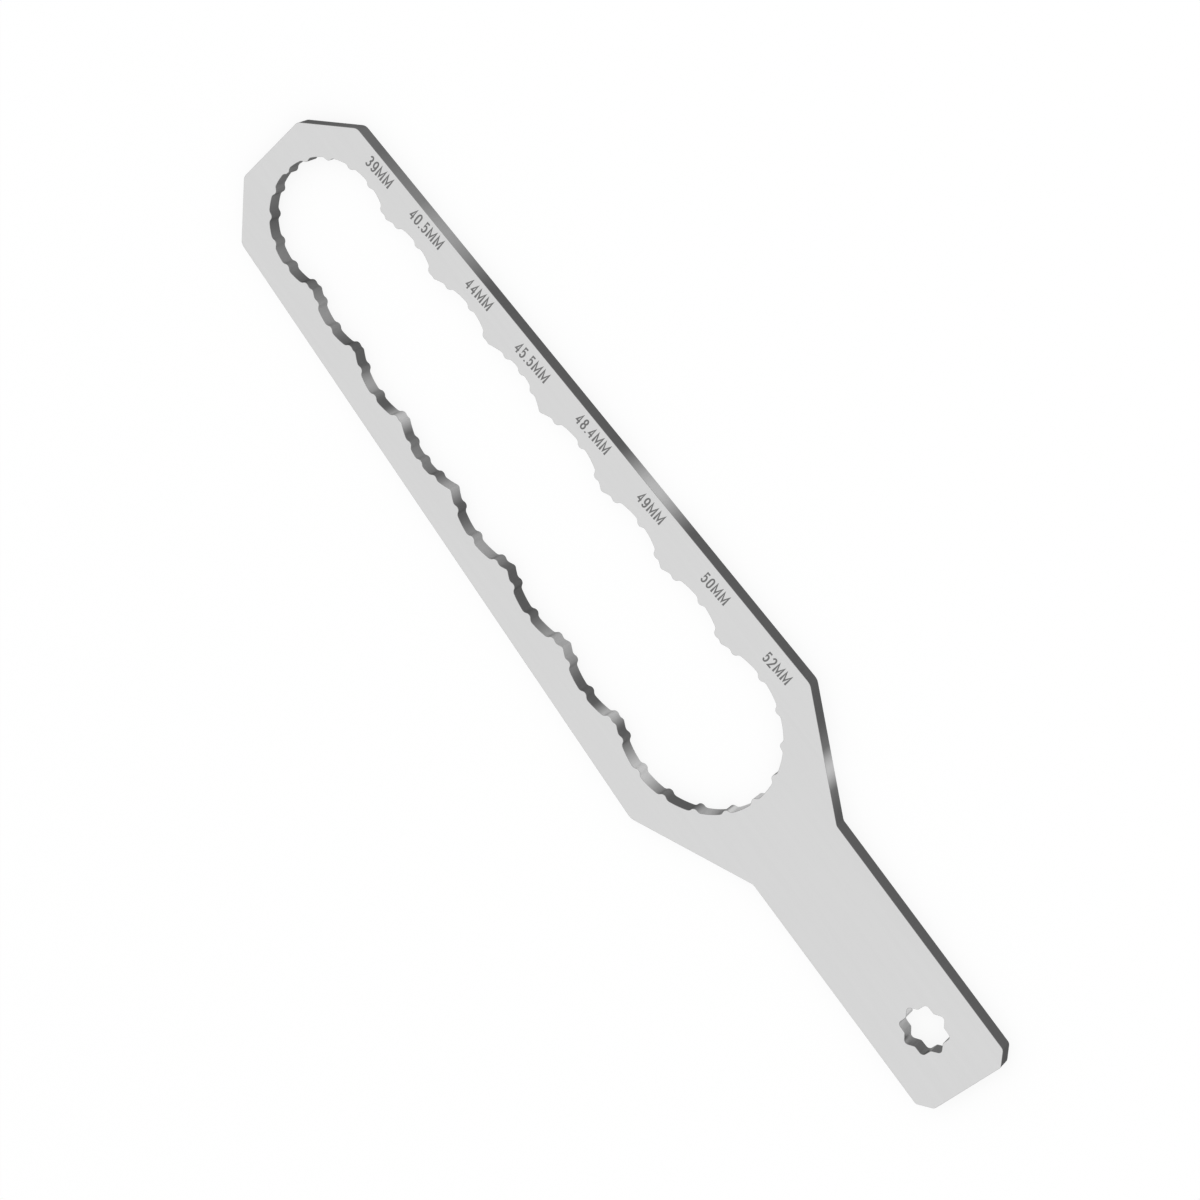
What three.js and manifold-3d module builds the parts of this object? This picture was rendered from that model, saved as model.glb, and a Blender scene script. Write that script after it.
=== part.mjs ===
// Bottom bracket wrench: one flat steel plate lying on z = 0, with its length along X.
// Eight toothed cup sockets run together into a tapered slot, and the handle has a star-shaped hole.
// Millimetres, +Z up. The origin is under the middle of the plate's length and width.

import * as THREE from 'three';
import { mergeVertices } from 'three/addons/utils/BufferGeometryUtils.js';
import Module from 'manifold-3d';

// Plate stock
const PLATE_THICKNESS = 4.6;

// Diameters of the cups that the sockets fit, from the tip to the handle
const CUP_A = 39;
const CUP_B = 40.5;
const CUP_C = 44;
const CUP_D = 45.5;
const CUP_E = 48.4;
const CUP_F = 49;
const CUP_G = 50;
const CUP_H = 52;

// Distances between the centres of neighbouring sockets
const STEP_AB = 21.4;
const STEP_BC = 22.9;
const STEP_CD = 22.6;
const STEP_DE = 26.1;
const STEP_EF = 27;
const STEP_FG = 27;
const STEP_GH = 26.4;

// Socket teeth: a full ring, or a group on each side of the slot with its pitch in degrees
const RING_TEETH = 16;
const GROUP_TEETH = 3;
const GROUP_PITCH = 15;
const LOW_TOOTH_HEIGHT = 0.82;
const HIGH_TOOTH_HEIGHT = 1;
const TOOTH_TIP_RADIUS = 1.4;
const TOOTH_ROOT_RADIUS = 1.5;

// Sockets in order: cup diameter, distance from the socket before, tooth layout and tooth height
const SOCKETS = [
  { size: CUP_A, step: 0, teeth: 'ring', height: LOW_TOOTH_HEIGHT },
  { size: CUP_B, step: STEP_AB, teeth: 'ring', height: LOW_TOOTH_HEIGHT },
  { size: CUP_C, step: STEP_BC, teeth: 'ring', height: LOW_TOOTH_HEIGHT },
  { size: CUP_D, step: STEP_CD, teeth: 'group', height: LOW_TOOTH_HEIGHT },
  { size: CUP_E, step: STEP_DE, teeth: 'ring', height: HIGH_TOOTH_HEIGHT },
  { size: CUP_F, step: STEP_EF, teeth: 'ring', height: HIGH_TOOTH_HEIGHT },
  { size: CUP_G, step: STEP_FG, teeth: 'ring', height: HIGH_TOOTH_HEIGHT },
  { size: CUP_H, step: STEP_GH, teeth: 'ring', height: HIGH_TOOTH_HEIGHT },
];
const SOCKET_CLEARANCE = 0.16;
const CUSP_RADIUS = 1.2;

// Head outline: walls left round the slot, and the bevelled tip
const TIP_WALL = 7.5;
const TIP_BEVEL_LENGTH = 13.2;
const TIP_BEVEL_WIDTH = 14.6;
const TIP_CORNER_RADIUS = 2.5;
const FRONT_SIDE_WALL = 8.4;
const REAR_SIDE_WALL = 10.8;
const WIDEST_SETBACK = 9.3;
const WIDEST_CORNER_RADIUS = 3.5;

// Handle: metal behind the largest socket, straight grip and bevelled end
const NECK_WALL = 18.3;
const NECK_RADIUS = 1.8;
const HANDLE_WIDTH = 34;
const HANDLE_LENGTH = 79;
const END_BEVEL_LENGTH = 3.8;
const END_BEVEL_WIDTH = 4.1;
const END_CORNER_RADIUS = 1.6;

// Star hole: circles through its points and its valleys before both are rounded
const STAR_POINTS = 8;
const STAR_POINT_DIAMETER = 15.8;
const STAR_VALLEY_DIAMETER = 12.3;
const STAR_POINT_RADIUS = 1.2;
const STAR_VALLEY_RADIUS = 0.7;
const STAR_FROM_END = 19.6;

// Modelling tolerances: facet error of a round stretch, how far a cutter runs past the faces,
// how far a cusp's rounding runs into its sockets and on past its ends,
// and the largest share of an edge that a rounded corner may use
const CHORD_ERROR = 0.01;
const CUT_OVERRUN = 1;
const CUSP_OVERRUN = 0.03;
const CUSP_RUNOUT = 2;
const CORNER_SHARE = 0.45;

// Steel as photographed: pale satin grey
const STEEL_COLOUR = 0xd5d5d5;
const STEEL_ROUGHNESS = 0.45;
const STEEL_METALNESS = 0.85;

const wasm = await Module();
wasm.setup();

// The point at a reach and an angle from a centre
function polarPoint(centre, reach, angle) {
  return new THREE.Vector2(centre.x + reach * Math.cos(angle), centre.y + reach * Math.sin(angle));
}

// Signed turn from one direction to another, between minus and plus half a circle
function turnBetween(from, to) {
  return Math.atan2(from.x * to.y - from.y * to.x, from.dot(to));
}

// Points of an arc of signed sweep, both ends included, with facets fine enough for the chord error
function arcPoints(centre, radius, startAngle, sweep) {
  const facet = 2 * Math.acos(1 - Math.min(CHORD_ERROR / radius, 1));
  const count = Math.max(1, Math.ceil(Math.abs(sweep) / facet));
  const points = [];
  for (let i = 0; i <= count; i += 1) {
    points.push(polarPoint(centre, radius, startAngle + (sweep * i) / count));
  }
  return points;
}

// Points of the short arc about a centre from one direction to another
function arcBetween(centre, radius, from, to) {
  return arcPoints(centre, radius, from.angle(), turnBetween(from, to));
}

// A closed loop through corners, each rounded by its own radius as far as its edges allow
function roundedLoop(corners) {
  const points = [];
  corners.forEach((corner, i) => {
    const before = corners[(i + corners.length - 1) % corners.length].at;
    const after = corners[(i + 1) % corners.length].at;
    const arriving = corner.at.clone().sub(before);
    const leaving = after.clone().sub(corner.at);
    const shorterEdge = Math.min(arriving.length(), leaving.length());
    arriving.normalize();
    leaving.normalize();
    const turn = turnBetween(arriving, leaving);
    const halfTangent = Math.tan(Math.abs(turn) / 2);
    const radius = Math.min(corner.radius, (CORNER_SHARE * shorterEdge) / halfTangent);
    const start = corner.at.clone().addScaledVector(arriving, -radius * halfTangent);
    const inward = new THREE.Vector2(-arriving.y, arriving.x).multiplyScalar(Math.sign(turn));
    const centre = start.clone().addScaledVector(inward, radius);
    points.push(...arcPoints(centre, radius, inward.negate().angle(), turn));
  });
  return points;
}

// A solid standing on a closed loop of points between two heights
function prism(points, bottom, top) {
  const geometry = new THREE.ExtrudeGeometry(new THREE.Shape(points), {
    depth: top - bottom,
    bevelEnabled: false,
  });
  geometry.translate(0, 0, bottom);
  geometry.deleteAttribute('normal');
  geometry.deleteAttribute('uv');
  const merged = mergeVertices(geometry);
  return new wasm.Manifold(
    new wasm.Mesh({
      numProp: 3,
      vertProperties: new Float32Array(merged.attributes.position.array),
      triVerts: new Uint32Array(merged.index.array),
    }),
  );
}

// Back from a solid to a mesh geometry
function geometryOf(solid) {
  const mesh = solid.getMesh();
  const geometry = new THREE.BufferGeometry();
  geometry.setAttribute('position', new THREE.BufferAttribute(mesh.vertProperties, 3));
  geometry.setIndex(new THREE.BufferAttribute(mesh.triVerts, 1));
  geometry.computeVertexNormals();
  return geometry;
}

// Root radius of a socket: half its cup size with the slip clearance
function socketRadius(socket) {
  return socket.size / 2 + SOCKET_CLEARANCE;
}

// Tooth angles of a socket in radians, rising: a tooth always stands straight across the slot
function toothAngles(socket) {
  const angles = [];
  if (socket.teeth === 'ring') {
    for (let i = 0; i < RING_TEETH; i += 1) {
      angles.push(Math.PI / 2 + (2 * Math.PI * i) / RING_TEETH);
    }
    return angles;
  }
  for (const straightAcross of [Math.PI / 2, (3 * Math.PI) / 2]) {
    for (let i = 0; i < GROUP_TEETH; i += 1) {
      const pitches = i - (GROUP_TEETH - 1) / 2;
      angles.push(straightAcross + THREE.MathUtils.degToRad(GROUP_PITCH) * pitches);
    }
  }
  return angles;
}

// Loop of a toothed socket about its centre: round roots, with a rounded tooth blended in at each angle
function socketLoop(socket, centre) {
  const rootRadius = socketRadius(socket);
  const blendReach = rootRadius - TOOTH_ROOT_RADIUS;
  const tipReach = rootRadius - socket.height + TOOTH_TIP_RADIUS;
  const touching = TOOTH_ROOT_RADIUS + TOOTH_TIP_RADIUS;
  const cosine = (blendReach ** 2 + tipReach ** 2 - touching ** 2) / (2 * blendReach * tipReach);
  const halfBase = Math.acos(cosine);
  const angles = toothAngles(socket);
  const points = [];
  angles.forEach((angle, i) => {
    const tip = polarPoint(centre, tipReach, angle);
    const blendIn = polarPoint(centre, blendReach, angle - halfBase);
    const blendOut = polarPoint(centre, blendReach, angle + halfBase);
    const outwardIn = blendIn.clone().sub(centre);
    const outwardOut = blendOut.clone().sub(centre);
    const rise = tip.clone().sub(blendIn);
    const fall = tip.clone().sub(blendOut);
    const nextAngle = i + 1 < angles.length ? angles[i + 1] : angles[0] + 2 * Math.PI;
    const rootSweep = nextAngle - angle - 2 * halfBase;
    points.push(...arcBetween(blendIn, TOOTH_ROOT_RADIUS, outwardIn, rise));
    points.push(...arcBetween(tip, TOOTH_TIP_RADIUS, rise.negate(), fall.clone().negate()).slice(1));
    points.push(...arcBetween(blendOut, TOOTH_ROOT_RADIUS, fall, outwardOut).slice(1));
    points.push(...arcPoints(centre, rootRadius, angle + halfBase, rootSweep).slice(1, -1));
  });
  return points;
}

// Where two circles on the X axis cross, on the given side of the axis
function crossing(leftX, leftRadius, rightX, rightRadius, side) {
  const apart = rightX - leftX;
  const along = (leftRadius ** 2 - rightRadius ** 2 + apart ** 2) / (2 * apart);
  return new THREE.Vector2(leftX + along, side * Math.sqrt(leftRadius ** 2 - along ** 2));
}

// Loop that rounds off the point of metal left between two neighbouring sockets, on one side of the slot
// It leaves the rounding at a slant, so that it spares a tooth standing close by
function cuspLoop(left, leftX, right, rightX, side) {
  const leftRadius = socketRadius(left);
  const rightRadius = socketRadius(right);
  const outward = CUSP_RADIUS - CUSP_OVERRUN;
  const rounding = crossing(leftX, leftRadius + outward, rightX, rightRadius + outward, side);
  const toLeft = new THREE.Vector2(leftX, 0).sub(rounding);
  const toRight = new THREE.Vector2(rightX, 0).sub(rounding);
  const onAxis = new THREE.Vector2(crossing(leftX, leftRadius, rightX, rightRadius, side).x, 0);
  const arc = arcBetween(rounding, CUSP_RADIUS, toRight, toLeft);
  const slantRight = polarPoint(arc[0], CUSP_RUNOUT, toRight.angle() + (side * Math.PI) / 4);
  const slantLeft = polarPoint(arc[arc.length - 1], CUSP_RUNOUT, toLeft.angle() - (side * Math.PI) / 4);
  return [onAxis, slantRight, ...arc, slantLeft];
}

// Socket centres along the slot, measured from the tip edge of the plate
function socketPlaces() {
  let along = TIP_WALL + socketRadius(SOCKETS[0]);
  return SOCKETS.map((socket) => {
    along += socket.step;
    return along;
  });
}

// Socket places, overall length, and the corners of one side from the tip edge to the handle's end
function plateLayout() {
  const places = socketPlaces();
  const lastSocket = SOCKETS[SOCKETS.length - 1];
  const front = { along: places[0], half: socketRadius(SOCKETS[0]) + FRONT_SIDE_WALL };
  const rear = { along: places[places.length - 1], half: socketRadius(lastSocket) + REAR_SIDE_WALL };
  const taper = (rear.half - front.half) / (rear.along - front.along);
  const halfAt = (along) => front.half + taper * (along - front.along);
  const tipHalf = halfAt(TIP_BEVEL_LENGTH);
  const widest = rear.along + WIDEST_SETBACK;
  const neck = rear.along + socketRadius(lastSocket) + NECK_WALL;
  const length = neck + HANDLE_LENGTH;
  const handleHalf = HANDLE_WIDTH / 2;
  const corners = [
    { along: 0, half: tipHalf - TIP_BEVEL_WIDTH, radius: TIP_CORNER_RADIUS },
    { along: TIP_BEVEL_LENGTH, half: tipHalf, radius: TIP_CORNER_RADIUS },
    { along: widest, half: halfAt(widest), radius: WIDEST_CORNER_RADIUS },
    { along: neck, half: handleHalf, radius: NECK_RADIUS },
    { along: length - END_BEVEL_LENGTH, half: handleHalf, radius: END_CORNER_RADIUS },
    { along: length, half: handleHalf - END_BEVEL_WIDTH, radius: END_CORNER_RADIUS },
  ];
  return { places, length, corners };
}

// Star hole loop: points and valleys in turn, both rounded
function starLoop(centre) {
  const corners = [];
  const pitch = (2 * Math.PI) / STAR_POINTS;
  for (let i = 0; i < STAR_POINTS; i += 1) {
    const point = polarPoint(centre, STAR_POINT_DIAMETER / 2, pitch * i);
    const valley = polarPoint(centre, STAR_VALLEY_DIAMETER / 2, pitch * (i + 0.5));
    corners.push({ at: point, radius: STAR_POINT_RADIUS });
    corners.push({ at: valley, radius: STAR_VALLEY_RADIUS });
  }
  return roundedLoop(corners);
}

// The wrench plate: rounded outline, less the toothed sockets, their cusp rounding and the star hole
function wrenchPlate() {
  const { places, length, corners } = plateLayout();
  const xAt = (along) => along - length / 2;
  const placed = (corner, side) => ({
    at: new THREE.Vector2(xAt(corner.along), side * corner.half),
    radius: corner.radius,
  });
  const lowerSide = corners.map((corner) => placed(corner, -1));
  const upperSide = corners.map((corner) => placed(corner, 1)).reverse();
  let solid = prism(roundedLoop([...lowerSide, ...upperSide]), 0, PLATE_THICKNESS);
  const cut = (loop) => {
    solid = solid.subtract(prism(loop, -CUT_OVERRUN, PLATE_THICKNESS + CUT_OVERRUN));
  };
  SOCKETS.forEach((socket, i) => cut(socketLoop(socket, new THREE.Vector2(xAt(places[i]), 0))));
  SOCKETS.slice(1).forEach((right, i) => {
    for (const side of [1, -1]) {
      cut(cuspLoop(SOCKETS[i], xAt(places[i]), right, xAt(places[i + 1]), side));
    }
  });
  cut(starLoop(new THREE.Vector2(xAt(length - STAR_FROM_END), 0)));
  const material = new THREE.MeshStandardMaterial({
    color: STEEL_COLOUR,
    roughness: STEEL_ROUGHNESS,
    metalness: STEEL_METALNESS,
  });
  const mesh = new THREE.Mesh(geometryOf(solid), material);
  mesh.name = 'wrench_plate';
  return mesh;
}

const bottomBracketWrench = new THREE.Group();
bottomBracketWrench.add(wrenchPlate());

export default bottomBracketWrench;
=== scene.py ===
# Bottom bracket wrench: the finish of its steel plate, its size marks, and a plain white studio.
# Lengths at the top are in millimetres, in the plate's own frame, and become metres where they are used.
import math

import bpy
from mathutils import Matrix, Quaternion, Vector
from mathutils.geometry import delaunay_2d_cdt, intersect_point_tri_2d


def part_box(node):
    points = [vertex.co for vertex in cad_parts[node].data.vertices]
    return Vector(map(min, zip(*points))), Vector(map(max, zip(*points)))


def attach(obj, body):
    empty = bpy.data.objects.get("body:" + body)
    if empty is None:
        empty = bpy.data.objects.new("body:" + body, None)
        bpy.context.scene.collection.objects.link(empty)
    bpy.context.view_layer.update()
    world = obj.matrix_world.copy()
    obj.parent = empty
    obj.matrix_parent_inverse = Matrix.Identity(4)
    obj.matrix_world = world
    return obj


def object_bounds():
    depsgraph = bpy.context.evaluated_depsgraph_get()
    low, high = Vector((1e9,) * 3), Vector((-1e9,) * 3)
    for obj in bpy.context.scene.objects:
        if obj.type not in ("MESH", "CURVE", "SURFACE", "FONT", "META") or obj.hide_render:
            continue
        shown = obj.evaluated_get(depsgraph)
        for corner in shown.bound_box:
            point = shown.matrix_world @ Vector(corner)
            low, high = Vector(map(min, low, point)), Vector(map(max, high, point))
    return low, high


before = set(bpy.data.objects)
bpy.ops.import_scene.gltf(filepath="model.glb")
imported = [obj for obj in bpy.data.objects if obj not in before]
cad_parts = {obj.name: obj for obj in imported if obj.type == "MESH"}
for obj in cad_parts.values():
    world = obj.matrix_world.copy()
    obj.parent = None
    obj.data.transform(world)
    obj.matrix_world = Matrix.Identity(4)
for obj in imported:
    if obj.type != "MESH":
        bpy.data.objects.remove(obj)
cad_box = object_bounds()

MM = 0.001

# Camera: where it stands, what it looks at, its turn about that line in degrees, and its lens
CAMERA_PLACE = (50.99, 509.72, 750.54)
CAMERA_TARGET = (-5.91, -4.11, 0.45)
CAMERA_ROLL = -121.37
CAMERA_LENS = 98.1
SENSOR_WIDTH = 36.0

# Edge break round both faces of the plate: width, steps, and the least angle of such an edge in degrees
EDGE_BREAK = 0.08
EDGE_BREAK_STEPS = 2
EDGE_BREAK_ANGLE = 60.0

# Joining of the plate's triangles: corners this near become one, faces this level in degrees become one
WELD_DISTANCE = 0.001
FLAT_ANGLE = 0.5

# Walls of the plate: their normals lean less than this along Z, and their corners match to these decimals
WALL_LEAN = 0.5
CORNER_DECIMALS = 7

# Material slots of the plate: the halves of its faces, its walls, and its edge break
LEFT_HALF, RIGHT_HALF, OUTLINE_WALL, SLOT_WALL, STAR_WALL, BREAK_BAND = range(6)

# Tones as reflected or scattered light, from 0 to 1. A grazing tone tints a wall seen at a low angle.
FACE_DARK = 0.63
FACE_LIGHT = 0.72
CUT_DARK = 0.133
CUT_GRAZING = 0.45
# Top tones of the outline's and slot's painted highlights, reflections painted into the walls' colour
OUTLINE_GLINT_TONE = 0.63
SLOT_GLINT_TONE = 0.7
STAR_DARK = 0.14
STAR_GRAZING = 1.0
# Top tone of the star's painted highlights
STAR_GLINT_TONE = 0.68
BREAK_DARK = 0.22
BREAK_LIGHT = 0.34
MARK_DARK = 0.13
MARK_LIGHT = 0.19
FLOOR_TONE = 0.94
WHITE = 1.0

# Patterns of the finishes: size of a cell along X, Y and Z, and levels of finer detail
GRAIN = ((14.0, 0.16, 1.0), 3.0)
STREAKS = ((70.0, 1.5, 1.0), 2.0)
CLOUDS = ((42.0, 30.0, 10.0), 3.0)
DRAG_LINES = ((0.22, 0.22, 7.0), 2.0)
MOTTLE = ((5.0, 5.0, 2.5), 3.0)
RUBBING = ((3.0, 3.0, 1.0), 3.0)
SPECKLE = ((0.12, 0.12, 0.12), 2.0)

# The range that most values of a pattern lie in
PATTERN_LOW = 0.3
PATTERN_HIGH = 0.7

# Weights of grain, streaks and clouds in the faces' tone, and of grain and clouds in their roughness
FACE_TONE_WEIGHTS = (0.45, 0.25, 0.3)
FACE_ROUGHNESS_WEIGHTS = (0.5, 0.5)

# Weights of drag lines and mottle in the walls: the same for both in their tone, and two in their roughness
CUT_TONE_WEIGHT = 0.06
CUT_ROUGHNESS_WEIGHTS = (0.7, 0.3)

# Roughness where the patterns are low and where they are high
FACE_ROUGHNESS = (0.34, 0.48)
CUT_ROUGHNESS = (0.38, 0.56)
BREAK_ROUGHNESS = (0.26, 0.4)
MARK_ROUGHNESS = (0.7, 0.9)

# Bump of a pattern: strength and depth
FACE_BUMP = (0.12, 0.02)
CUT_BUMP = (0.25, 0.03)

# Mirror-like reflection of what isn't metal, and the floor's even roughness
MARK_SPECULAR = 0.2
FLOOR_SPECULAR = 0.0
FLOOR_ROUGHNESS = 0.9

# Painted highlights on the cut walls, reflections painted into their colour as bright stretches: place
# along X, reach to each side, and share of the brightest tone.
# A share over 1 keeps the middle of the stretch at the brightest tone.
OUTLINE_GLINTS = (
    (-146.0, 22.0, 0.1),
    (-122.0, 30.0, 0.27),
    (-111.0, 22.0, 0.54),
    (-19.5, 16.5, 0.87),
    (69.0, 13.0, 0.24),
    (69.3, 7.0, 1.0),
)
SLOT_GLINTS = (
    (-153.5, 6.0, 0.13),
    (-138.0, 11.0, 0.21),
    (-118.0, 12.0, 0.36),
    (-94.3, 6.0, 0.47),
    (-81.3, 5.6, 0.78),
    (-69.0, 10.5, 0.22),
    (-57.0, 6.0, 0.54),
    (-38.5, 11.5, 0.49),
    (-3.3, 13.0, 0.56),
    (21.0, 5.5, 0.71),
    (39.0, 11.5, 0.88),
    (59.3, 4.0, 0.64),
    (65.0, 3.8, 4.0),
)
STAR_GLINTS = (
    (133.8, 4.2, 2.0),
    (133.7, 11.0, 0.82),
    (142.0, 2.4, 0.27),
)

# The part of X that the painted highlights are set out on, as a multiple of the plate's length
GLINT_SPAN = 1.02

# Size marks: the words, and the middle of each from the tip edge and from the middle line
SIZE_MARKS = (
    ("39MM", 26.4, 24.7),
    ("40.5MM", 47.0, 25.9),
    ("44MM", 70.3, 26.9),
    ("45.5MM", 94.1, 27.5),
    ("48.4MM", 119.95, 29.5),
    ("49MM", 145.7, 30.2),
    ("50MM", 173.8, 31.3),
    ("52MM", 201.1, 32.0),
)

# Letters: tilt of a word in degrees, and the sizes of letters and strokes
MARK_TILT = 4.8
LETTER_HEIGHT = 3.66
DIGIT_WIDTH = 1.65
M_WIDTH = 2.55
DOT_WIDTH = 0.5
LETTER_GAP = 0.45
DIGIT_STROKE = 0.5
M_STROKE = 0.62

# Strokes: the most degrees between points of an arc, the distance under which a stroke's ends meet,
# and the least cosine that a mitre's reach is divided by
ARC_STEP = 15.0
CLOSED_GAP = 1e-6
MITRE_COSINE = 0.45

# Layer of a mark: height over the face, depth in it, the distance under which corners become one,
# and the kind of triangulation that drops what lies outside the strokes but keeps the holes they enclose
MARK_PROUD = 0.015
MARK_SUNK = 0.03
MARK_MERGE = 0.01
INSIDE_TRIANGLES = 1

# Floor: its size, its gap under the plate, and the share of it that is plain white to these rays
FLOOR_SIZE = 8000.0
FLOOR_GAP = 0.1
FLOOR_LIFT = 0.85
WHITE_RAYS = ("Is Camera Ray", "Is Glossy Ray", "Is Transmission Ray")

# Light: strength of the floor's white and of the surround, and soft lamps with place, size and watts
GLOW_STRENGTH = 1.0
WORLD_STRENGTH = 1.0
LAMPS = (
    ("lamp_key", (-700.0, 900.0, 1500.0), 1400.0, 2.0),
    ("lamp_fill", (1100.0, 700.0, 1200.0), 1200.0, 1.0),
)
LAMP_TARGET = (0.0, 0.0, 0.0)


# Objects

def metres(point):
    return Vector(point) * MM


def add_object(name, data):
    """A new object in the scene."""
    added = bpy.data.objects.new(name, data)
    bpy.context.scene.collection.objects.link(added)
    return added


def aim(viewer, place, target, roll=0.0):
    """Stands a lamp or a camera at a place, facing a target, and turned about that line by some degrees."""
    viewer.location = metres(place)
    viewer.rotation_mode = "QUATERNION"
    front = (metres(target) - metres(place)).to_track_quat("-Z", "Y")
    viewer.rotation_quaternion = front @ Quaternion((0.0, 0.0, 1.0), math.radians(roll))


# Nodes

def add_node(tree, kind, **values):
    """A new node with some of its inputs set, by name with _ for a space."""
    node = tree.nodes.new(kind)
    for name, value in values.items():
        node.inputs[name.replace("_", " ")].default_value = value
    return node


def new_material(name, metallic):
    """A node material, its tree and its shader."""
    material = bpy.data.materials.new(name)
    material.use_nodes = True
    shader = material.node_tree.nodes["Principled BSDF"]
    shader.inputs["Metallic"].default_value = metallic
    return material, material.node_tree, shader


def grey(tone):
    return (tone, tone, tone, 1.0)


def compute(tree, operation, *values):
    """The result of a math node on some values, each a number or the output of a node."""
    step = add_node(tree, "ShaderNodeMath")
    step.operation = operation
    for socket, value in zip(step.inputs, values):
        if isinstance(value, bpy.types.NodeSocket):
            tree.links.new(value, socket)
        else:
            socket.default_value = value
    return step.outputs[0]


def mixed(tree, values, weights):
    """The sum of some values, each times its weight."""
    total = 0.0
    for value, weight in zip(values, weights):
        total = compute(tree, "MULTIPLY_ADD", value, weight, total)
    return total


def spread(tree, value, low, high, start=PATTERN_LOW, end=PATTERN_HIGH, curve="LINEAR"):
    """A value from start to end, mapped to low to high and held there outside."""
    ranged = add_node(tree, "ShaderNodeMapRange", From_Min=start, From_Max=end, To_Min=low, To_Max=high)
    ranged.interpolation_type = curve
    tree.links.new(value, ranged.inputs["Value"])
    return ranged.outputs["Result"]


def noise(tree, cell, detail):
    """Noise from 0 to 1 whose cells have these sizes along X, Y and Z."""
    place = add_node(tree, "ShaderNodeTexCoord")
    stretch = add_node(tree, "ShaderNodeMapping", Scale=[1 / (size * MM) for size in cell])
    pattern = add_node(tree, "ShaderNodeTexNoise", Scale=1.0, Detail=detail)
    tree.links.new(place.outputs["Object"], stretch.inputs["Vector"])
    tree.links.new(stretch.outputs["Vector"], pattern.inputs["Vector"])
    return pattern.outputs["Fac"]


def set_tone(tree, shader, value, dark, light):
    """Colour of a shader: the grey between two tones at a value from 0 to 1."""
    tones = add_node(tree, "ShaderNodeMix")
    tones.data_type = "RGBA"
    sockets = {socket.identifier: socket for socket in tones.inputs}
    sockets["A_Color"].default_value = grey(dark)
    sockets["B_Color"].default_value = grey(light)
    tree.links.new(value, sockets["Factor_Float"])
    result = next(socket for socket in tones.outputs if socket.identifier == "Result_Color")
    tree.links.new(result, shader.inputs["Base Color"])


def set_roughness(tree, shader, pattern, low, high):
    """Roughness of a shader from a pattern."""
    tree.links.new(spread(tree, pattern, low, high), shader.inputs["Roughness"])


def set_bump(tree, shader, pattern, strength, depth):
    """Bump on a shader from a pattern."""
    bump = add_node(tree, "ShaderNodeBump", Strength=strength, Distance=depth * MM)
    tree.links.new(pattern, bump.inputs["Height"])
    tree.links.new(bump.outputs["Normal"], shader.inputs["Normal"])


# Materials

def face_steel():
    """Satin plate face: fine grain along the length, wider streaks and faint clouds."""
    material, tree, shader = new_material("satin_steel", metallic=1.0)
    grain = noise(tree, *GRAIN)
    streaks = noise(tree, *STREAKS)
    clouds = noise(tree, *CLOUDS)
    tone = mixed(tree, (grain, streaks, clouds), FACE_TONE_WEIGHTS)
    set_tone(tree, shader, tone, FACE_DARK, FACE_LIGHT)
    set_roughness(tree, shader, mixed(tree, (grain, clouds), FACE_ROUGHNESS_WEIGHTS), *FACE_ROUGHNESS)
    set_bump(tree, shader, grain, *FACE_BUMP)
    return material


def glint_curve(tree, glints):
    """Painted highlights along X: a smooth rise and fall at each painted glint."""
    low, high = (corner * GLINT_SPAN / MM for corner in (cad_box[0][0], cad_box[1][0]))
    place = add_node(tree, "ShaderNodeTexCoord")
    axes = add_node(tree, "ShaderNodeSeparateXYZ")
    tree.links.new(place.outputs["Object"], axes.inputs[0])
    share = spread(tree, axes.outputs["X"], 0.0, 1.0, low * MM, high * MM)
    total = 0.0
    for centre, reach, level in glints:
        middle = (centre - low) / (high - low)
        half = reach / (high - low)
        apart = compute(tree, "ABSOLUTE", compute(tree, "SUBTRACT", share, middle))
        fall = spread(tree, apart, level, 0.0, 0.0, half, "SMOOTHSTEP")
        total = compute(tree, "MAXIMUM", total, fall)
    return total


def cut_steel(name, glints, dark, bright, grazing):
    """Dark cut wall: drag lines through the thickness, mottling, and bright stretches of painted
    reflection.

    The lines and the mottle have a mean of a half, so they add one weight to the tone, which is taken off.
    """
    material, tree, shader = new_material(name, metallic=1.0)
    shader.inputs["Specular Tint"].default_value = grey(grazing)
    lines = noise(tree, *DRAG_LINES)
    mottle = noise(tree, *MOTTLE)
    uneven = mixed(tree, (lines, mottle), (CUT_TONE_WEIGHT, CUT_TONE_WEIGHT))
    # The glints are painted highlights: reflections added into the wall's colour along X
    tone = compute(tree, "ADD", uneven, glint_curve(tree, glints))
    level = spread(tree, tone, 0.0, 1.0, CUT_TONE_WEIGHT, 1.0 + CUT_TONE_WEIGHT)
    set_tone(tree, shader, level, dark, bright)
    set_roughness(tree, shader, mixed(tree, (lines, mottle), CUT_ROUGHNESS_WEIGHTS), *CUT_ROUGHNESS)
    set_bump(tree, shader, lines, *CUT_BUMP)
    return material


def break_steel():
    """Edge break: smoother than the faces, unevenly rubbed, with a tone between theirs and the walls'."""
    material, tree, shader = new_material("edge_break_steel", metallic=1.0)
    rubbing = noise(tree, *RUBBING)
    set_tone(tree, shader, rubbing, BREAK_DARK, BREAK_LIGHT)
    set_roughness(tree, shader, rubbing, *BREAK_ROUGHNESS)
    return material


def mark_oxide():
    """Dark matt oxide of the marked sizes, with a fine speckle."""
    material, tree, shader = new_material("mark_oxide", metallic=0.0)
    speckle = noise(tree, *SPECKLE)
    set_tone(tree, shader, speckle, MARK_DARK, MARK_LIGHT)
    set_roughness(tree, shader, speckle, *MARK_ROUGHNESS)
    shader.inputs["Specular IOR Level"].default_value = MARK_SPECULAR
    return material


# The plate

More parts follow.
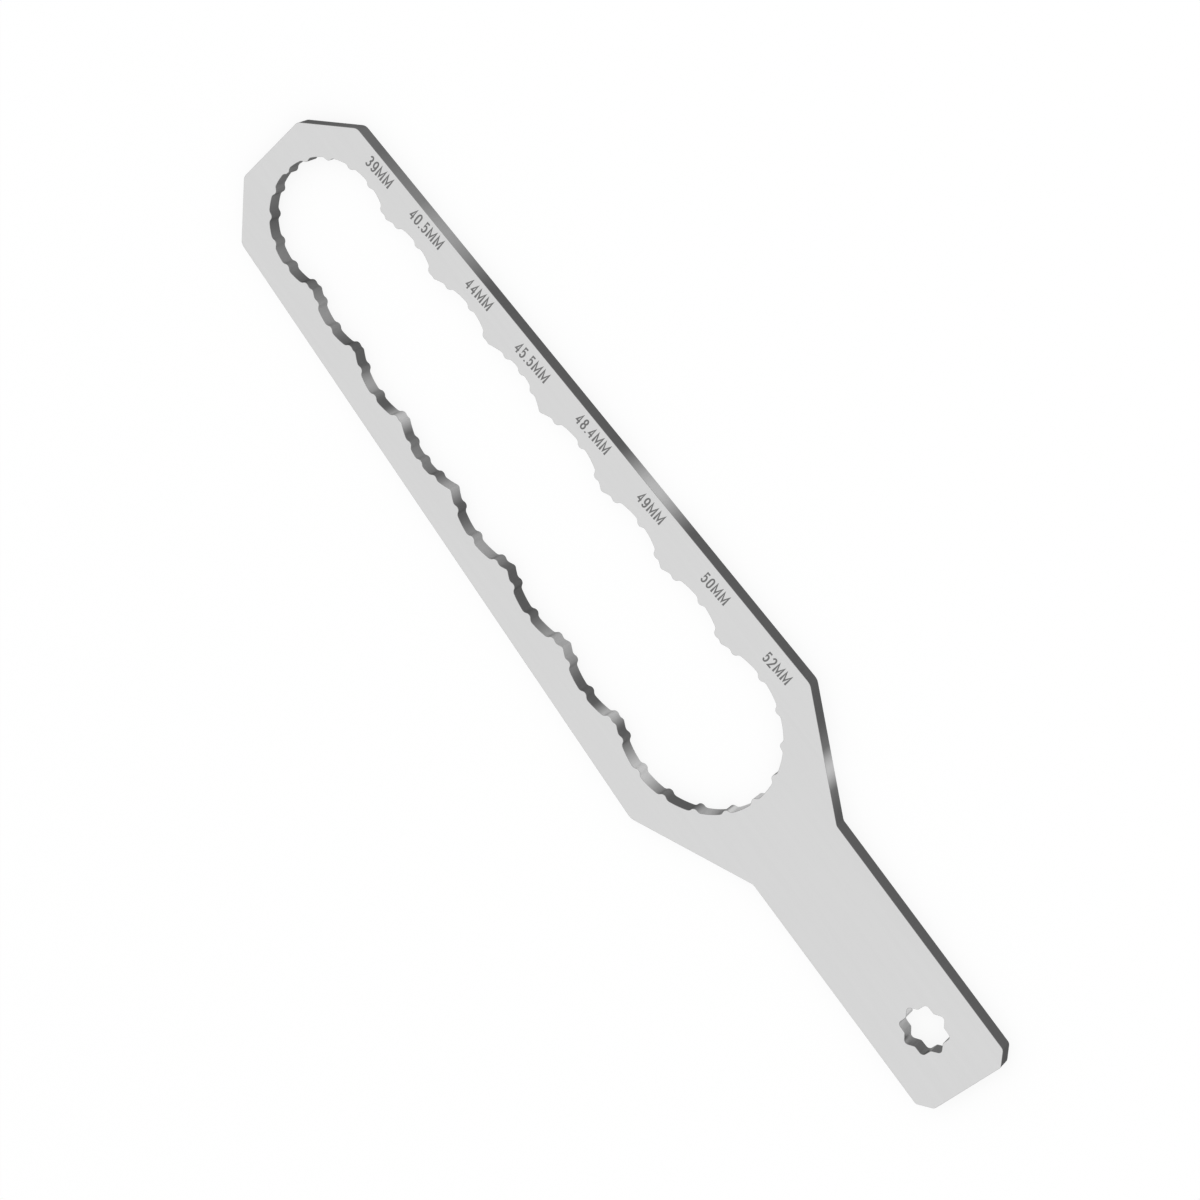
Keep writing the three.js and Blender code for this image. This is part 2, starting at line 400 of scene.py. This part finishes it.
def wall_rings(mesh):
    """The wall faces of the plate, in rings of neighbours: its outline and each hole, from the tip on."""
    at_corner = {}
    for polygon in mesh.polygons:
        if abs(polygon.normal.z) < WALL_LEAN:
            for vertex in polygon.vertices:
                x, y, _ = mesh.vertices[vertex].co
                corner = (round(x, CORNER_DECIMALS), round(y, CORNER_DECIMALS))
                at_corner.setdefault(corner, []).append(polygon.index)
    corners_of = {}
    for corner, faces in at_corner.items():
        for face in faces:
            corners_of.setdefault(face, set()).add(corner)
    rings = []
    left = set(corners_of)
    while left:
        ring = set()
        todo = [min(left)]
        while todo:
            face = todo.pop()
            if face in ring:
                continue
            ring.add(face)
            for corner in corners_of[face]:
                todo.extend(at_corner[corner])
        left -= ring
        rings.append(ring)
    return sorted(rings, key=lambda ring: min(mesh.polygons[face].center.x for face in ring))


def paint_plate(mesh):
    """Finishes of the plate: satin faces, dark cut walls with painted highlights, and the edge break
    between them.

    Each half of a face has its own slot, so that the faces join into two flat halves with no hole in them.
    """
    satin = face_steel()
    finishes = {
        LEFT_HALF: satin,
        RIGHT_HALF: satin,
        OUTLINE_WALL: cut_steel("cut_outline_steel", OUTLINE_GLINTS, CUT_DARK, OUTLINE_GLINT_TONE, CUT_GRAZING),
        SLOT_WALL: cut_steel("cut_slot_steel", SLOT_GLINTS, CUT_DARK, SLOT_GLINT_TONE, CUT_GRAZING),
        STAR_WALL: cut_steel("cut_star_steel", STAR_GLINTS, STAR_DARK, STAR_GLINT_TONE, STAR_GRAZING),
        BREAK_BAND: break_steel(),
    }
    mesh.materials.clear()
    for slot in sorted(finishes):
        mesh.materials.append(finishes[slot])
    for polygon in mesh.polygons:
        polygon.use_smooth = True
        polygon.material_index = LEFT_HALF if polygon.center.y > 0.0 else RIGHT_HALF
    for slot, ring in zip((OUTLINE_WALL, SLOT_WALL, STAR_WALL), wall_rings(mesh)):
        for face in ring:
            mesh.polygons[face].material_index = slot


def break_edges(plate):
    """Joins the plate's triangles into flat faces, breaks the edges round them and evens the normals.

    The stored normals and sharp edges go first, because they would show through the evened ones.
    """
    for stored in ("custom_normal", "sharp_edge"):
        plate.data.attributes.remove(plate.data.attributes[stored])
    weld = plate.modifiers.new("weld", "WELD")
    weld.merge_threshold = WELD_DISTANCE * MM
    flat = plate.modifiers.new("flat_faces", "DECIMATE")
    flat.decimate_type = "DISSOLVE"
    flat.angle_limit = math.radians(FLAT_ANGLE)
    flat.delimit = {"MATERIAL"}
    edge = plate.modifiers.new("edge_break", "BEVEL")
    edge.width = EDGE_BREAK * MM
    edge.segments = EDGE_BREAK_STEPS
    edge.limit_method = "ANGLE"
    edge.angle_limit = math.radians(EDGE_BREAK_ANGLE)
    edge.use_clamp_overlap = False
    edge.material = BREAK_BAND
    even = plate.modifiers.new("even_normals", "WEIGHTED_NORMAL")
    even.mode = "FACE_AREA"


# Size marks

def arc(centre_x, centre_y, reach_x, reach_y, start, end):
    """Points of an oval arc from one angle to another, in degrees."""
    count = max(1, math.ceil(abs(end - start) / ARC_STEP))
    angles = [math.radians(start + (end - start) * i / count) for i in range(count + 1)]
    return [(centre_x + reach_x * math.cos(a), centre_y + reach_y * math.sin(a)) for a in angles]


# Strokes of each letter on a square from 0 to 1
LETTERS = {
    "0": [arc(0.5, 0.7, 0.5, 0.3, 0, 180) + arc(0.5, 0.3, 0.5, 0.3, 180, 360) + [(1.0, 0.7)]],
    "2": [arc(0.5, 0.72, 0.48, 0.28, 165, -38) + [(0.0, 0.0), (1.03, 0.0)]],
    "3": [arc(0.47, 0.765, 0.45, 0.235, 155, -90) + arc(0.47, 0.265, 0.52, 0.265, 90, -155)],
    "4": [[(0.78, -0.05), (0.78, 1.0), (0.0, 0.27), (1.08, 0.27)]],
    "5": [[(0.95, 1.0), (0.14, 1.0), (0.07, 0.5)] + arc(0.47, 0.33, 0.51, 0.33, 140, -155)],
    "8": [arc(0.5, 0.765, 0.43, 0.235, 0, 360), arc(0.5, 0.265, 0.5, 0.265, 0, 360)],
    "9": [arc(0.5, 0.68, 0.5, 0.32, 0, 360), [(1.0, 0.68)] + arc(0.5, 0.3, 0.5, 0.3, 0, -150)],
    "M": [[(0.0, -0.05), (0.0, 1.0), (0.5, 0.16), (1.0, 1.0), (1.0, -0.05)]],
    ".": [[(0.5, -0.06), (0.5, 0.08)]],
}
LETTER_MIDDLE = 0.5
WIDTHS = {"M": M_WIDTH, ".": DOT_WIDTH}
STROKES = {"M": M_STROKE}


def summed(points):
    """The sum of some points of the plane."""
    return sum(points, Vector((0.0, 0.0)))


def stroke_quads(points, thick):
    """The quads of a stroke of even width along some points, mitred where it turns."""
    path = [Vector(point) for point in points]
    closed = (path[0] - path[-1]).length < CLOSED_GAP
    count = len(path)
    sides = []
    for i, point in enumerate(path):
        before = path[i] - path[i - 1] if i else None
        after = path[i + 1] - path[i] if i + 1 < count else None
        if closed and before is None:
            before = path[-1] - path[-2]
        if closed and after is None:
            after = path[1] - path[0]
        ways = [way.normalized() for way in (before, after) if way is not None]
        across = [Vector((-way.y, way.x)) for way in ways]
        middle = summed(across).normalized()
        reach = thick / 2 / max(MITRE_COSINE, middle.dot(across[0]))
        sides.append((point + middle * reach, point - middle * reach))
    return [(sides[i][0], sides[i][1], sides[i + 1][1], sides[i + 1][0]) for i in range(count - 1)]


def word_quads(word):
    """The quads of a word whose middle is at the origin."""
    widths = [WIDTHS.get(letter, DIGIT_WIDTH) for letter in word]
    pen = -(sum(widths) + LETTER_GAP * (len(word) - 1)) / 2
    quads = []
    for letter, width in zip(word, widths):
        thick = STROKES.get(letter, DIGIT_STROKE)
        start = pen + thick / 2
        wide = width - thick
        tall = LETTER_HEIGHT - thick
        for stroke in LETTERS[letter]:
            points = [(start + x * wide, (y - LETTER_MIDDLE) * tall) for x, y in stroke]
            quads.extend(stroke_quads(points, thick))
        pen += width + LETTER_GAP
    return quads


def covered(point, quads):
    """Whether a point lies on one of some quads."""
    for a, b, c, d in quads:
        if intersect_point_tri_2d(point, a, b, c) or intersect_point_tri_2d(point, a, c, d):
            return True
    return False


def layer_mesh(name, points, faces, bottom, top):
    """A closed layer between two heights: flat faces on top, the same below, and walls round the rim."""
    used = sorted({i for face in faces for i in face})
    upper = {i: place for place, i in enumerate(used)}
    lower = {i: len(used) + place for place, i in enumerate(used)}
    sides = [(face[k - 1], face[k]) for face in faces for k in range(len(face))]
    known = set(sides)
    rim = [(a, b) for a, b in sides if (b, a) not in known]
    shell = [[upper[i] for i in face] for face in faces]
    shell += [[lower[i] for i in reversed(face)] for face in faces]
    shell += [[upper[b], upper[a], lower[a], lower[b]] for a, b in rim]
    mesh = bpy.data.meshes.new(name)
    mesh.from_pydata([(*points[i], height) for height in (top, bottom) for i in used], [], shell)
    return mesh


def make_mark(word, along, across, material):
    """One size mark: thin strokes joined into one layer on the plate's upper face."""
    quads = word_quads(word)
    corners = [corner for quad in quads for corner in quad]
    loops = [[4 * i + k for k in range(4)] for i in range(len(quads))]
    points, _, cells, *_ = delaunay_2d_cdt(corners, [], loops, INSIDE_TRIANGLES, MARK_MERGE)
    # A triangle in the hole of a digit lies on no stroke and is left out
    faces = [cell for cell in cells if covered(summed(points[i] for i in cell) / len(cell), quads)]
    low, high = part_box("wrench_plate")
    turn = math.radians(MARK_TILT)
    placed = []
    for point in points:
        x = along + point.x * math.cos(turn) - point.y * math.sin(turn)
        y = across + point.x * math.sin(turn) + point.y * math.cos(turn)
        placed.append((low.x + x * MM, y * MM))
    bottom = high.z - MARK_SUNK * MM
    top = high.z + MARK_PROUD * MM
    mesh = layer_mesh("size_mark_" + word, placed, faces, bottom, top)
    mesh.materials.append(material)
    mark = add_object(mesh.name, mesh)
    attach(mark, "root")


# Studio

def floor_paint():
    """Pale matt paint, lifted towards white where it is seen or mirrored."""
    material, tree, shader = new_material("pale_floor", metallic=0.0)
    shader.inputs["Base Color"].default_value = grey(FLOOR_TONE)
    shader.inputs["Roughness"].default_value = FLOOR_ROUGHNESS
    shader.inputs["Specular IOR Level"].default_value = FLOOR_SPECULAR
    rays = add_node(tree, "ShaderNodeLightPath")
    seen = 0.0
    for kind in WHITE_RAYS:
        seen = compute(tree, "ADD", rays.outputs[kind], seen)
    glow = add_node(tree, "ShaderNodeEmission", Color=grey(WHITE), Strength=GLOW_STRENGTH)
    lift = add_node(tree, "ShaderNodeMixShader")
    output = tree.nodes["Material Output"]
    tree.links.new(spread(tree, seen, 0.0, FLOOR_LIFT, 0.0, 1.0), lift.inputs[0])
    tree.links.new(shader.outputs[0], lift.inputs[1])
    tree.links.new(glow.outputs[0], lift.inputs[2])
    tree.links.new(lift.outputs[0], output.inputs["Surface"])
    return material


def make_floor():
    """A pale floor that keeps the plate's shadow."""
    half = FLOOR_SIZE / 2 * MM
    height = -FLOOR_GAP * MM
    mesh = bpy.data.meshes.new("floor")
    corners = [(-half, -half, height), (half, -half, height), (half, half, height), (-half, half, height)]
    mesh.from_pydata(corners, [], [(0, 1, 2, 3)])
    mesh.materials.append(floor_paint())
    floor = add_object("floor", mesh)


def make_light():
    """An even white surround and large soft lamps aimed at the plate."""
    world = bpy.data.worlds.new("studio")
    bpy.context.scene.world = world
    world.use_nodes = True
    surround = world.node_tree.nodes["Background"]
    surround.inputs["Color"].default_value = grey(WHITE)
    surround.inputs["Strength"].default_value = WORLD_STRENGTH
    for name, place, size, watts in LAMPS:
        lamp = bpy.data.lights.new(name, "AREA")
        lamp.size = size * MM
        lamp.energy = watts
        aim(add_object(name, lamp), place, LAMP_TARGET)


def make_camera():
    """The camera at the photographed angle."""
    lens = bpy.data.cameras.new("camera")
    lens.lens = CAMERA_LENS
    lens.sensor_width = SENSOR_WIDTH
    camera = add_object("camera", lens)
    aim(camera, CAMERA_PLACE, CAMERA_TARGET, CAMERA_ROLL)
    bpy.context.scene.camera = camera


bpy.context.scene.view_settings.view_transform = "Standard"
make_camera()
make_light()
make_floor()
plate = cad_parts["wrench_plate"]
paint_plate(plate.data)
break_edges(plate)
oxide = mark_oxide()
for word, along, across in SIZE_MARKS:
    make_mark(word, along, across, oxide)
